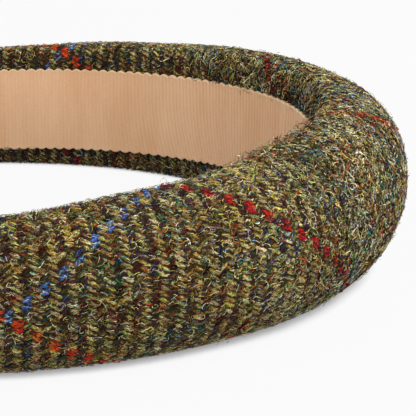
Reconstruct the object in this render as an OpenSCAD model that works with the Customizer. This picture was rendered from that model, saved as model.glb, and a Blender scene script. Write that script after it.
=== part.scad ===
// Padded headband lying on its edge: a padded, cloth-covered band that tapers from the crown to two round
// tips, with a ribbed ribbon glued along the inside. The crown is toward +Y and the arms run to -Y. The band's
// width stands along Z, and its soft lower edge is pressed flat where it rests. All sizes are in millimetres.

/* [Head opening] */
// Half of the inside width where the band is widest, at the cloth
inside_half_w = 62.5; // [56:0.5:70]
// Depth of the opening from the crown to where the band is widest
crown_depth = 94; // [84:0.5:104]
// Angle on the plan ellipse from the crown to where each tip starts to round off
tip_angle = 115; // [108:0.5:122]

/* [Padded band] */
// Width of the band at the crown
crown_w = 43; // [39:0.5:50]
// Width of the band where the opening is widest
side_w = 34.5; // [32:0.5:38]
// Width of the band where each tip starts to round off
tip_w = 24; // [20:0.5:29]
// Thickness of the padding at the crown
crown_t = 25; // [18:0.5:30]
// Thickness of the padding where the opening is widest
side_t = 16; // [12:0.5:20]
// Thickness of the padding where each tip starts to round off
tip_t = 9.5; // [7:0.5:12]
// Length of each rounded tip
tip_length = 12; // [8:0.5:14]
// How far the band's own weight presses its lower edge in
press = 0.8; // [0.2:0.1:1.6]
// Roundness of the outside: 1 is half an ellipse, and less is fuller
outside_round = 0.8; // [0.6:0.05:1]
// Roundness of the cloth where it turns over the inside edges
inside_round = 0.9; // [0.7:0.05:1]
// Depth of that turn, as a share of the padding's thickness
turn_share = 0.14; // [0.1:0.01:0.25]

/* [Lining ribbon] */
// Width of the ribbon
ribbon_w = 25; // [20:0.5:27]
// Thickness of the ribbon over its ribs
ribbon_t = 0.7; // [0.5:0.1:1.2]
// Least width of cloth that shows beside the ribbon
border_w = 3; // [2:0.25:4]
// Glue line between the ribbon and the cloth
glue_line = 0.2; // [0.15:0.05:0.3]
// Length over which each end of the ribbon is cut round
end_cut = 8; // [4:0.5:12]

/* [Smoothness] */
// Steps round the plan, from the crown to where a tip starts
arm_steps = 39; // [24:1:60]
// Rings in each rounded tip
tip_steps = 5; // [3:1:8]
// Steps round the outside of the section
outside_steps = 16; // [8:2:24]
// Steps over each inside edge of the section
turn_steps = 4; // [2:1:6]

/* [Hidden] */

cloth_colour = "#5a5434";
ribbon_colour = "#d3a980";

// The round-off of a tip is drawn this far round its quarter circle, and the small end left is closed flat
tip_turn = 84;
// The padding shrinks toward this share of its thickness in a tip, counted from the inside
tip_heart = 0.35;
// How late the faster taper past the widest place sets in: 1 is at once
late_taper = 1.5;
degrees_per_radian = 180 / PI;

// Plan ellipse, from the crown (angle 0) round to one arm (positive angles) and the other (negative ones)
function plan(angle) = [inside_half_w * sin(angle), crown_depth * (cos(angle) - 1)];
// Length of plan ellipse that one degree passes over
function pace(angle) =
    norm([inside_half_w * cos(angle), crown_depth * sin(angle)]) / degrees_per_radian;
// Unit vector away from the head, square to the plan ellipse
function outward(angle) =
    let (v = [crown_depth * sin(angle), inside_half_w * cos(angle)]) v / norm(v);

// A size of the band at an angle: it follows the depth from the crown to the widest place, and goes on at the
// same slope and then faster to the tip
function tapered(crown, side, tip, angle) =
    let (past = abs(angle) - 90, last = tip_angle - 90, slope = (side - crown) / degrees_per_radian)
    past <= 0
        ? crown + (side - crown) * (1 - cos(angle))
        : side + slope * past + (tip - side - slope * last) * pow(past / last, late_taper);

function width_at(angle) = tapered(crown_w, side_w, tip_w, angle);
function thickness_at(angle) = tapered(crown_t, side_t, tip_t, angle);
function ribbon_half_at(angle) = min(ribbon_w, width_at(angle) - 2 * border_w) / 2;

// Power of a sine or cosine that never goes below zero
function bent(x, round) = pow(max(0, x), round);

// Section of the band as [outward, up] points, from the outer end of the pressed strip over the outside, down
// the inside and back to the strip's inner end. The inside is flat where the ribbon lies.
function section(width, thickness, seat_half) =
    let (
        half = (width + press) / 2,
        turn = turn_share * thickness,
        lift_off = asin(1 - press / half),
        top_turn = width / 2 - seat_half,
        low_turn = top_turn + press,
        touch_down = acos(pow(top_turn / low_turn, 1 / inside_round))
    )
    concat(
        [for (i = [0:outside_steps])
            let (a = -lift_off + (90 + lift_off) * i / outside_steps)
            [turn + (thickness - turn) * bent(cos(a), outside_round),
             i == 0 ? 0 : width - half + half * sin(a)]],
        [for (i = [1:turn_steps])
            let (a = 90 * i / turn_steps)
            [turn * (1 - bent(sin(a), inside_round)),
             width / 2 + seat_half + top_turn * bent(cos(a), inside_round)]],
        [for (i = [0:turn_steps])
            let (a = 90 + (touch_down - 90) * i / turn_steps)
            [turn * (1 - bent(sin(a), inside_round)),
             i == turn_steps ? 0 : width / 2 - seat_half - low_turn * bent(cos(a), inside_round)]]
    );

// Places of the sections as [angle, shrink], from the tip of one arm round the crown to the other tip
arm_places = [for (i = [-arm_steps:arm_steps]) [tip_angle * i / arm_steps, 1]];
tip_places = [for (i = [1:tip_steps])
    let (a = tip_turn * i / tip_steps) [tip_angle + tip_length * sin(a) / pace(tip_angle), cos(a)]];
band_places = concat(
    [for (i = [tip_steps - 1:-1:0]) [-tip_places[i][0], tip_places[i][1]]],
    arm_places,
    tip_places
);

// One ring of the band in the part's axes, before it is centred
function band_ring(place) =
    let (
        angle = place[0],
        shrink = place[1],
        width = width_at(angle),
        thickness = thickness_at(angle),
        heart = [tip_heart * thickness, width / 2],
        at = plan(angle),
        out = outward(angle)
    )
    [for (p = section(width, thickness, ribbon_half_at(angle) + glue_line))
        let (q = heart + (p - heart) * shrink)
        [at[0] + out[0] * q[0], at[1] + out[1] * q[0], q[1]]];

// One ring of the ribbon: a flat strip that stands off the cloth by the glue line
function ribbon_ring(place) =
    let (
        angle = place[0],
        half = ribbon_half_at(angle) * place[1],
        middle = width_at(angle) / 2,
        at = plan(angle),
        out = outward(angle)
    )
    [for (p = [[-glue_line, -half], [-glue_line, half],
               [-glue_line - ribbon_t, half], [-glue_line - ribbon_t, -half]])
        [at[0] + out[0] * p[0], at[1] + out[1] * p[0], middle + p[1]]];

// Places of the ribbon's rings as [angle, share of its full width], with round-cut ends
cut_angle = tip_angle - end_cut / pace(tip_angle);
cut_places = [for (i = [1:tip_steps])
    let (a = tip_turn * i / tip_steps) [cut_angle + (tip_angle - cut_angle) * sin(a), cos(a)]];
ribbon_places = concat(
    [for (i = [tip_steps - 1:-1:0]) [-cut_places[i][0], cut_places[i][1]]],
    [for (i = [-arm_steps:arm_steps]) [cut_angle * i / arm_steps, 1]],
    cut_places
);

band_rings = [for (place = band_places) band_ring(place)];
ribbon_rings = [for (place = ribbon_places) ribbon_ring(place)];

// The band's reach from front to back, to put the origin under the middle of it
band_front = min([for (ring = band_rings) for (p = ring) p[1]]);
band_back = max([for (ring = band_rings) for (p = ring) p[1]]);

// A closed solid through rings of the same number of points, with flat ends
module lofted(rings) {
    count = len(rings[0]);
    last = (len(rings) - 1) * count;
    polyhedron(
        points = [for (ring = rings) for (p = ring) p],
        faces = concat(
            [[for (j = [0:count - 1]) j]],
            [for (i = [0:len(rings) - 2]) for (j = [0:count - 1])
                let (a = i * count + j, b = i * count + (j + 1) % count) each
                [[a, a + count, b + count], [a, b + count, b]]],
            [[for (j = [count - 1:-1:0]) last + j]]
        )
    );
}

// Moves a piece so that the origin lies under the middle of the band
module centred() {
    translate([0, -(band_front + band_back) / 2, 0]) children();
}

// Tweed-covered padding, one closed soft form
module padded_band() {
    color(cloth_colour) centred() lofted(band_rings);
}

// Ribbed ribbon along the inside, from one tip round the crown to the other
module lining_ribbon() {
    color(ribbon_colour) centred() lofted(ribbon_rings);
}

padded_band();
lining_ribbon();
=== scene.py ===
"""A padded headband in wool tweed with a petersham lining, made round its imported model.

The cloth is a 2/2 twill cut on the bias, so its wales run straight across the band. Every float of the weave
is a bundle of single wool fibres, and loose curly fibres lie over them. All lengths are in metres.
"""
import math
from typing import NamedTuple

import bmesh
import bpy
import numpy as np
from bpy.props import CollectionProperty, FloatProperty, FloatVectorProperty, IntProperty, PointerProperty
from bpy.types import Operator, Panel, PropertyGroup
from mathutils import Matrix, Vector


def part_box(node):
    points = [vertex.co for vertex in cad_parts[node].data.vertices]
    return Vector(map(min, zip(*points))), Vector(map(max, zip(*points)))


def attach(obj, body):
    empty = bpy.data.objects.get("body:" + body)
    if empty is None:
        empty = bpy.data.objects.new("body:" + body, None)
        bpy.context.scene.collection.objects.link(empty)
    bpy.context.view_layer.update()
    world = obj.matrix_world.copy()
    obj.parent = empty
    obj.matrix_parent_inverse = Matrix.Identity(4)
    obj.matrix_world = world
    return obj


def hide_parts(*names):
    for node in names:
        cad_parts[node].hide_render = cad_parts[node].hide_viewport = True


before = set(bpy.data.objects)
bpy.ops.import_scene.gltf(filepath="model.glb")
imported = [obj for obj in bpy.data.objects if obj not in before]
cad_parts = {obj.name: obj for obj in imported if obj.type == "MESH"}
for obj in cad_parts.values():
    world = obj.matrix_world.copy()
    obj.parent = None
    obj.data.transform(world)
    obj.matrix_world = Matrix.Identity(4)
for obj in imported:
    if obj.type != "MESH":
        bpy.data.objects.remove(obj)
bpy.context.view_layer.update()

bl_info = {
    "name": "Padded tweed headband",
    "version": (1, 0, 0),
    "blender": (4, 5, 0),
    "location": "3D View > Sidebar > Headband",
    "description": "Makes a padded tweed headband with a petersham lining",
    "category": "Add Mesh",
}

BAND_LOW, BAND_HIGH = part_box("padded_band")
MM = 0.001


def srgb(code):
    """Linear colour of an sRGB hex code such as #c9a27b."""
    parts = [int(code[i:i + 2], 16) / 255 for i in (1, 3, 5)]
    return tuple(c / 12.92 if c <= 0.04045 else ((c + 0.055) / 1.055) ** 2.4 for c in parts)


def length(name, description, default):
    """A property that holds a length."""
    return FloatProperty(name=name, description=description, default=default, min=0, unit="LENGTH",
                         precision=5)


def degrees(name, description, default):
    """A property that holds an angle, with its default in degrees."""
    return FloatProperty(name=name, description=description, default=math.radians(default),
                         subtype="ANGLE")


def swatch(name, description, code):
    """A property that holds a colour, with its default as an sRGB hex code."""
    return FloatVectorProperty(name=name, description=description, subtype="COLOR", size=3,
                               default=srgb(code))


def whole(name, description, default):
    """A property that holds a whole number."""
    return IntProperty(name=name, description=description, default=default)


def portion(name, description):
    """A property that holds how much of a dyed wool something takes."""
    return FloatProperty(name=name, description=description, default=0, min=0)


class BandSizes(PropertyGroup):
    """Sizes of the padded form, the same as the construction model's."""
    inside_half_width: length("Inside half width", "Half of the width between the arms", 62.5 * MM)
    crown_depth: length("Crown depth", "From the crown to where the band is widest", 94 * MM)
    tip_angle: degrees("Tip angle", "Angle on the plan ellipse where a tip starts", 115)
    crown_width: length("Crown width", "Width of the band at the crown", BAND_HIGH.z - BAND_LOW.z)
    side_width: length("Side width", "Width of the band at its widest place", 34.5 * MM)
    tip_width: length("Tip width", "Width of the band where a tip starts", 24 * MM)
    crown_thickness: length("Crown thickness", "Thickness of the padding at the crown", 25 * MM)
    side_thickness: length("Side thickness", "Thickness of the padding at the widest place", 16 * MM)
    tip_thickness: length("Tip thickness", "Thickness of the padding where a tip starts", 9.5 * MM)
    tip_length: length("Tip length", "Length of each rounded tip", 12 * MM)
    press: length("Press", "How far the band's weight presses its lower edge in", 0.8 * MM)
    unevenness: length("Unevenness", "How far the hand-wrapped padding swells and dips", 0.22 * MM)


class TweedSettings(PropertyGroup):
    """The weave of the cloth and the fibres in it."""
    wale_at_side: length("Wale at the side", "Distance from wale to wale on the arms", 4.1 * MM)
    wale_at_crown: length("Wale at the crown", "Distance from wale to wale where the cloth is stretched",
                          2.85 * MM)
    float_pitch: length("Float pitch", "Distance from float to float along a wale", 1.53 * MM)
    # A real wool fibre is about 0.03 mm thick, too fine to show, so fewer are drawn and each one wider
    fibre_width: length("Fibre width", "Width that a wool fibre is drawn with", 0.14 * MM)
    light_fibres: whole("Light fibres", "Fibres in each float of the light yarn", 11)
    dark_fibres: whole("Dark fibres", "Fibres in each float of the dark yarn", 7)
    loose_fibres: whole("Loose fibres", "Curly fibres lying over the weave", 59000)
    relief: length("Relief", "Height of the wales over the grooves between them", 0.5 * MM)
    # Its darkness is a painted shade for the deep gaps between the floats
    ground: swatch("Ground", "Colour of the felted ground between the floats", "#2b1e12")
    seed: whole("Seed", "Start of the random draws", 7)


class WoolDye(PropertyGroup):
    """One dyed wool, and how much of it each yarn holds."""
    colour: swatch("Colour", "Colour of this wool", "#000000")
    light: portion("Light yarn", "Share of it in the light yarn")
    dark: portion("Dark yarn", "Share of it in the dark yarn")
    loose: portion("Loose fibres", "Share of it in the loose fibres")
    crimson: portion("Crimson yarn", "Share of it in the crimson yarn")
    orange: portion("Orange yarn", "Share of it in the orange yarn")
    blue: portion("Blue yarn", "Share of it in the blue yarn")
    light_body: portion("Light body", "Share of it deep in the light yarn")
    dark_body: portion("Dark body", "Share of it deep in the dark yarn")


class RibbonSettings(PropertyGroup):
    """The petersham ribbon along the inside."""
    width: length("Width", "Width of the ribbon", 25 * MM)
    thickness: length("Thickness", "Thickness of the ribbon over its ribs", 0.7 * MM)
    border: length("Border", "Least width of cloth beside the ribbon", 3 * MM)
    glue_line: length("Glue line", "Gap between the ribbon and the cloth", 0.2 * MM)
    end_cut: length("End cut", "Length over which an end is cut round", 8 * MM)
    rib_pitch: length("Rib pitch", "Distance from rib to rib", 1.12 * MM)
    rib_height: length("Rib height", "Height of a rib over the groove beside it, at the crown", 0.24 * MM)
    scallop_pitch: length("Scallop pitch", "Distance from notch to notch of the edge", 2.75 * MM)
    notch: length("Notch", "Depth of the notches in the edge", 0.65 * MM)
    colour: swatch("Colour", "Colour of the ribbon", "#e2b88f")


class StageSettings(PropertyGroup):
    """Floor, light and camera."""
    floor_colour: swatch("Floor", "Colour of the floor under its even glow", "#242424")
    bounce: swatch("Bounce", "Colour of the board that throws light up from below", "#6a6a6a")
    sky_light: FloatProperty(name="Sky light", description="Strength of the light from all round",
                             default=0.8)
    azimuth: degrees("Azimuth", "Direction that the camera looks from", 81.18)
    elevation: degrees("Elevation", "Height of the camera over the horizon", 22.47)
    roll: degrees("Roll", "Tilt of the camera about its own axis", 1.885)
    distance: length("Distance", "From the camera to the point that it looks at", 384.4 * MM)
    aim: FloatVectorProperty(name="Aim", description="Point that the camera looks at", size=3,
                             subtype="TRANSLATION", default=(9.94 * MM, 31.68 * MM, 13.39 * MM))
    lens: FloatProperty(name="Lens", description="Focal length in millimetres on a 36 mm sensor",
                        default=125.1)


# Shape of the section and of the tips, the same as the construction model's
OUTSIDE_ROUND, INSIDE_ROUND, TURN_SHARE, TIP_HEART, LATE_TAPER = 0.8, 0.9, 0.14, 0.35, 1.5
# Fineness of the table of cloth positions
STATIONS, SECTION_POINTS, ROUND_STEP = 901, 160, 0.25 * MM
# Cloth and ribbon stop at this share of a tip or an end, just before it closes to nothing
NEAR_END = 0.9995
# The cloth keeps this far off the floor, and swells freely only where it is well over it
FLOOR_GAP, LIFTED = 0.02 * MM, (0.2 * MM, 3 * MM)
# Fibres are laid this far under the ribbon's edge. The cover is plain and sunk from a little beside it.
FIBRES_TUCK, PLAIN_BESIDE, SUNK = 0.6 * MM, 0.5 * MM, 0.1 * MM
# Along the band from the crown: where its wales widen, where its felted cloth gives way to a clear weave, and
# where the arms turn darker, a painted falloff of the light along them
WALES_WIDEN, FELT_ENDS, ARMS_PAINTED_FALLOFF = (59 * MM, 83 * MM), (48 * MM, 88 * MM), (78 * MM, 108 * MM)


def smooth(value, low, high):
    """0 below low, 1 above high, and a smooth step between."""
    t = np.clip((value - low) / (high - low), 0, 1)
    return t * t * (3 - 2 * t)


class PaddedForm:
    """Where the cloth lies, for an angle on the plan ellipse and a distance round the section.

    The distance round is 0 half-way up the outside, positive over the top and negative under the bottom.
    """

    def __init__(self, sizes, tweed, ribbon):
        self.sizes, self.tweed, self.ribbon = sizes, tweed, ribbon
        self.last_angle = sizes.tip_angle + NEAR_END * sizes.tip_length / self.pace(sizes.tip_angle)
        self.angles = np.linspace(-self.last_angle, self.last_angle, STATIONS)

        # Places on the cloth for each angle and distance round
        sections = [self.section(a) for a in self.angles]
        reach = max(max(-s[0][0], s[0][-1]) for s in sections)
        self.round = np.arange(-reach, reach + ROUND_STEP, ROUND_STEP)
        out = np.array([np.interp(self.round, s[0], s[1]) for s in sections])
        up = np.array([np.interp(self.round, s[0], s[2]) for s in sections])
        self.low = np.array([s[0][0] for s in sections])
        self.high = np.array([s[0][-1] for s in sections])
        self.seat_low = np.array([s[3] for s in sections])
        self.seat_high = np.array([s[4] for s in sections])
        self.centre = BAND_HIGH.y - self.plan(0.0)[1] - sizes.crown_thickness
        plan, outward = self.plan(self.angles), self.outward(self.angles)
        self.places = np.stack([
            plan[0][:, None] + outward[0][:, None] * out,
            plan[1][:, None] + outward[1][:, None] * out + self.centre,
            up,
        ], -1)

        # Which way the cloth faces at each of them
        across = np.gradient(self.places, axis=1)
        along = np.gradient(self.places, axis=0)
        normals = np.cross(across, along)
        size = np.linalg.norm(normals, axis=2, keepdims=True)
        self.normals = normals / np.maximum(size, 1e-12)

        # Length of band from the crown, half-way up the outside, and the wales counted along it
        middle = self.places[:, np.argmin(np.abs(self.round))]
        steps = np.linalg.norm(np.diff(middle, axis=0), axis=1)
        run = np.concatenate([[0], np.cumsum(steps)])
        self.run = run - np.interp(0, self.angles, run)
        widening = smooth(np.abs(self.run), *WALES_WIDEN)
        wale = tweed.wale_at_crown + (tweed.wale_at_side - tweed.wale_at_crown) * widening
        count = np.concatenate([[0], np.cumsum(steps * (1 / wale[1:] + 1 / wale[:-1]) / 2)])
        self.wales = count - np.interp(0, self.angles, count)

    def plan(self, angle):
        """Point of the plan ellipse, with the crown at the start."""
        s = self.sizes
        return s.inside_half_width * np.sin(angle), s.crown_depth * (np.cos(angle) - 1)

    def pace(self, angle):
        """Length of plan ellipse that one radian passes over."""
        s = self.sizes
        return math.hypot(s.inside_half_width * math.cos(angle), s.crown_depth * math.sin(angle))

    def outward(self, angle):
        """Unit direction away from the head, square to the plan ellipse."""
        s = self.sizes
        x, y = s.crown_depth * np.sin(angle), s.inside_half_width * np.cos(angle)
        return x / np.hypot(x, y), y / np.hypot(x, y)

    def tapered(self, crown, side, tip, angle):
        """A size of the band at an angle, from the crown's through the side's to the tip's."""
        past, last = abs(angle) - math.pi / 2, self.sizes.tip_angle - math.pi / 2
        if past <= 0:
            return crown + (side - crown) * (1 - math.cos(angle))
        faster = tip - side - (side - crown) * last
        return side + (side - crown) * past + faster * (past / last) ** LATE_TAPER

    def width(self, angle):
        """Width of the band at an angle."""
        s = self.sizes
        return self.tapered(s.crown_width, s.side_width, s.tip_width, angle)

    def thickness(self, angle):
        """Thickness of the padding at an angle."""
        s = self.sizes
        return self.tapered(s.crown_thickness, s.side_thickness, s.tip_thickness, angle)

    def ribbon_half(self, angle):
        """Half of the ribbon's width before its ends are cut round."""
        return min(self.ribbon.width, self.width(angle) - 2 * self.ribbon.border) / 2

    def ribbon_cut(self, angle):
        """Share of its width that the ribbon keeps at its round-cut ends."""
        end = self.sizes.tip_angle
        start = end - self.ribbon.end_cut / self.pace(end)
        share = np.clip((np.abs(angle) - start) / (end - start), 0, 1)
        return np.sqrt(1 - share ** 2) * (np.abs(angle) < end)

    def section(self, angle):
        """Distances round the section, its points outward and up, and the two ends of the ribbon's seat."""
        width, thickness = self.width(angle), self.thickness(angle)
        seat = self.ribbon_half(angle) + self.ribbon.glue_line
        half = (width + self.sizes.press) / 2
        turn = TURN_SHARE * thickness
        lift_off = math.asin(1 - self.sizes.press / half)
        top_turn = width / 2 - seat
        low_turn = top_turn + self.sizes.press
        touch_down = math.acos((top_turn / low_turn) ** (1 / INSIDE_ROUND))

        # From the middle of the ribbon's seat over the low turn, up the outside, and over the top turn back
        low = np.linspace(math.pi / 2, touch_down, SECTION_POINTS // 4)
        outside = np.linspace(-lift_off, math.pi / 2, SECTION_POINTS)
        top = np.linspace(0, math.pi / 2, SECTION_POINTS // 4)
        out = np.concatenate([
            [0], turn * (1 - np.sin(low) ** INSIDE_ROUND),
            turn + (thickness - turn) * np.maximum(np.cos(outside), 0) ** OUTSIDE_ROUND,
            turn * (1 - np.sin(top) ** INSIDE_ROUND), [0],
        ])
        up = np.concatenate([
            [width / 2], width / 2 - seat - low_turn * np.maximum(np.cos(low), 0) ** INSIDE_ROUND,
            width - half + half * np.sin(outside),
            width / 2 + seat + top_turn * np.maximum(np.cos(top), 0) ** INSIDE_ROUND, [width / 2],
        ])

        # In a rounded tip it shrinks toward its heart
        s = self.sizes
        past = max(0.0, (abs(angle) - s.tip_angle) * self.pace(s.tip_angle) / s.tip_length)
        shrink = math.sqrt(1 - min(past, 1.0) ** 2)
        heart = TIP_HEART * thickness
        out = heart + (out - heart) * shrink
        up = width / 2 + (np.maximum(up, 0) - width / 2) * shrink
        steps = np.concatenate([[0], np.cumsum(np.hypot(np.diff(out), np.diff(up)) + 1e-9)])
        outer = len(low) + 1 + np.argmin(np.abs(up[len(low) + 1:len(low) + 1 + SECTION_POINTS] - width / 2))
        steps -= steps[outer]
        return steps, out, up, steps[1], steps[-2]

    def run_at(self, angle):
        """Length of band from the crown to an angle, negative along the other arm."""
        return np.interp(angle, self.angles, self.run)

    def stride(self, angle):
        """Length of band that one radian passes over, half-way up the outside."""
        return np.interp(angle, self.angles, np.gradient(self.run, self.angles))

    def seat(self, angle):
        """Distances round where the ribbon's seat ends, low and high."""
        return np.interp(angle, self.angles, self.seat_low), np.interp(angle, self.angles, self.seat_high)

    def look_up(self, table, angle, distance):
        """Values of a table of places at many angles and distances round."""
        a = np.clip((angle - self.angles[0]) / (self.angles[1] - self.angles[0]), 0, STATIONS - 1.001)
        d = np.clip((distance - self.round[0]) / ROUND_STEP, 0, len(self.round) - 1.001)
        i, j = a.astype(int), d.astype(int)
        u, v = (a - i)[..., None], (d - j)[..., None]
        return ((table[i, j] * (1 - v) + table[i, j + 1] * v) * (1 - u)
                + (table[i + 1, j] * (1 - v) + table[i + 1, j + 1] * v) * u)

    def swell(self, angle, distance):
        """How far the uneven padding lifts the cloth: three waves that never fall in step."""
        run = self.run_at(angle) / MM
        d = distance / MM
        waves = (np.sin(run / 9.1 + 1.3 * np.sin(d / 17) + 0.4) + np.sin(run / 14.7 - d / 11.3 + 2.1)
                 + np.sin(run / 6.3 + d / 8.9 + 4.4) * 0.6)
        return self.sizes.unevenness * waves / 2

    def cloth(self, angle, distance, height):
        """Points at a height over the cloth's ground."""
        normal = self.look_up(self.normals, angle, distance)
        normal /= np.maximum(np.linalg.norm(normal, axis=-1, keepdims=True), 1e-9)
        place = self.look_up(self.places, angle, distance)
        lift = height + self.swell(angle, distance) * self.above_floor(place[..., 2])
        place = place + normal * lift[..., None]
        place[..., 2] = np.maximum(place[..., 2], FLOOR_GAP)
        return place, normal

    def above_floor(self, height):
        """0 on the pressed strip and 1 well over it."""
        return smooth(height, *LIFTED)

    def under_ribbon(self, angle, distance, keep):
        """True where the ribbon covers the cloth by more than the width keep."""
        seat_low, seat_high = self.seat(angle)
        inside = np.maximum(distance - seat_high, seat_low - distance)
        half = np.array([self.ribbon_half(a) for a in np.ravel(angle)]).reshape(np.shape(angle))
        cut = half * (1 - self.ribbon_cut(angle))
        return (inside > keep + cut) & (np.abs(angle) < self.sizes.tip_angle)

    def shown(self, angle, distance):
        """True where there is cloth to lay a fibre on."""
        low = np.interp(angle, self.angles, self.low)
        high = np.interp(angle, self.angles, self.high)
        on = (distance > low) & (distance < high) & (np.abs(angle) < self.last_angle)
        return on & ~self.under_ribbon(angle, distance, FIBRES_TUCK)


# The weave is counted in yarns: light yarn i and dark yarn j cross at wale (i + j) / 4. On the face the light
# yarn is on top where i + j is 0 or 1 past a multiple of 4, and the dark yarn where it is 2 or 3. The floats
# of each wale lie WALE_SLANT of a float over those of the last, and the count starts at WEAVE_START.
WALE_SLANT, WEAVE_START = 0.049, 0.2
# Threads of the overcheck, as pairs that start at these yarns
LIGHT_CHECKS = {-98: "orange", -55: "crimson", -1: "orange", 48: "crimson", 89: "orange"}
DARK_CHECKS = {-55: "blue", 18: "blue", 85: "blue"}


def cloth_place(form, i, j):
    """Angle and distance round of a crossing of light yarn i and dark yarn j, which may be fractions."""
    wale, rise = (i + j) / 4, (j - i) / 2
    angle = np.interp(wale, form.wales, form.angles)
    return angle, (rise - WEAVE_START + WALE_SLANT * wale) * form.tweed.float_pitch


def weave_place(form, angle, distance):
    """Light and dark yarn at an angle and distance round, as fractions."""
    wale = np.interp(angle, form.angles, form.wales)
    rise = distance / form.tweed.float_pitch - WALE_SLANT * wale + WEAVE_START
    return 2 * wale - rise, 2 * wale + rise


def crown_share(form, angle):
    """1 at the crown, where the cloth is stretched and felted, and 0 along the arms."""
    return 1 - smooth(np.abs(form.run_at(angle)), *FELT_ENDS)


# The dyed wools of the cloth, with how much of each the yarns and loose fibres hold
DYES = (
    # name, colour, light, dark, loose, crimson, orange, blue, light body, dark body
    ("straw", "#d6cf8c", 10, 4, 16, 0, 0, 0, 1, 1),
    ("old_gold", "#bfac4c", 12, 5, 11, 0, 0, 0, 5, 2),
    ("olive", "#969650", 15, 6, 6, 0, 0, 0, 6, 2),
    ("moss", "#757d46", 10, 5, 6, 0, 0, 0, 4, 0),
    ("sand", "#c1b995", 10, 4, 8, 0, 0, 0, 3, 0),
    ("camel", "#a58044", 14, 8, 11, 0, 1, 0, 6, 2),
    ("bronze", "#806a38", 11, 9, 8, 0, 0, 0, 6, 4),
    ("bark", "#5a4d36", 6, 8, 3, 0, 1, 0, 3, 5),
    ("fern", "#4f552e", 5, 4, 4, 0, 0, 0, 2, 3),
    ("oat", "#d8dac8", 2, 1, 3, 0, 0, 2, 0, 0),
    ("rose_beige", "#aa9684", 10, 3, 8, 0, 0, 0, 3, 0),
    ("walnut", "#614226", 10, 13, 8, 0, 1, 0, 2, 6),
    ("peat", "#3d2312", 8, 22, 12, 2, 1, 0, 1, 12),
    ("black_brown", "#1f0f08", 7, 18, 20, 1, 0, 1, 0, 8),
    ("bottle", "#22402a", 3, 9, 2, 0, 0, 0, 0, 5),
    ("dark_teal", "#1b4044", 3, 8, 3, 0, 0, 0, 1, 4),
    ("navy", "#232b4c", 1, 7, 2, 0, 0, 6, 0, 3),
    ("maroon", "#501f1e", 3, 10, 3, 8, 1, 0, 0, 4),
    ("plum", "#4a3350", 3, 8, 3, 0, 0, 1, 1, 3),
    ("green", "#4c9456", 3, 2, 4, 0, 0, 0, 0, 0),
    ("teal", "#3b8c86", 3, 2, 3, 0, 0, 0, 0, 0),
    ("sky", "#7c9cc8", 1, 1, 1, 0, 0, 14, 0, 0),
    ("royal", "#4f6aa8", 1, 1, 1, 0, 0, 26, 0, 0),
    ("tangerine", "#c6501e", 2, 1, 3, 0, 18, 0, 0, 0),
    ("rust", "#a03810", 4, 3, 3, 2, 10, 0, 0, 0),
    ("crimson", "#931a24", 0, 1, 1, 26, 2, 0, 0, 0),
    ("scarlet", "#bf2c1e", 1, 0, 1, 4, 16, 0, 0, 0),
)
# Coloured flecks in a yarn: from this share of its length on, how much of red, green and blue is kept
FLECKS = (
    (0.0, (1.0, 1.0, 1.0)),
    (0.5, (1.25, 1.1, 0.75)),
    (0.7, (0.85, 1.05, 0.8)),
    (0.82, (1.5, 0.65, 0.45)),
    (0.87, (0.45, 1.0, 0.95)),
    (0.91, (0.55, 0.8, 1.9)),
    (0.94, (0.5, 1.3, 0.7)),
    (0.97, (1.1, 0.95, 1.1)),
)
YARNS = ("light", "dark", "loose", "crimson", "orange", "blue", "light_body", "dark_body")


def add_node(tree, kind, settings=None, links=None):
    """Adds a node, sets its properties, and sets or links its inputs."""
    node = tree.nodes.new(kind)
    for name, value in (settings or {}).items():
        setattr(node, name, value)
    for name, value in (links or {}).items():
        if isinstance(value, bpy.types.NodeSocket):
            tree.links.new(value, node.inputs[name])
        else:
            node.inputs[name].default_value = value
    return node


def new_material(name):
    """An empty material and its node tree."""
    material = bpy.data.materials.new(name)
    material.use_nodes = True
    material.node_tree.nodes.clear()
    return material, material.node_tree


def set_stops(ramp, *stops):
    """Sets the two stops of a new colour ramp, each a position and a colour."""
    for element, (position, colour) in zip(ramp.color_ramp.elements, stops):
        element.position = position
        element.color = colour


def scaled(colour, red, green, blue):
    """A colour with its channels scaled, for a node."""
    return colour[0] * red, colour[1] * green, colour[2] * blue, 1


def finish_material(tree, shader):
    """Joins a shader to the material's output."""
    add_node(tree, "ShaderNodeOutputMaterial", links={"Surface": shader.outputs[0]})


def dyed_wool(dye):
    """Dyed wool fibre, scoured, dyed in the fleece and carded. Its scales scatter light, so it is matt with a
    soft bright edge. One fibre has one colour all along: the cloth's colour comes from the mix of fibres."""
    material, tree = new_material("dyed_wool_" + dye.name)
    shader = add_node(tree, "ShaderNodeBsdfPrincipled", links={
        "Base Color": (*dye.colour, 1), "Roughness": 0.8, "IOR": 1.54, "Specular IOR Level": 0.05,
        "Sheen Weight": 0.05, "Sheen Roughness": 0.4,
    })
    finish_material(tree, shader)
    return material


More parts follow.
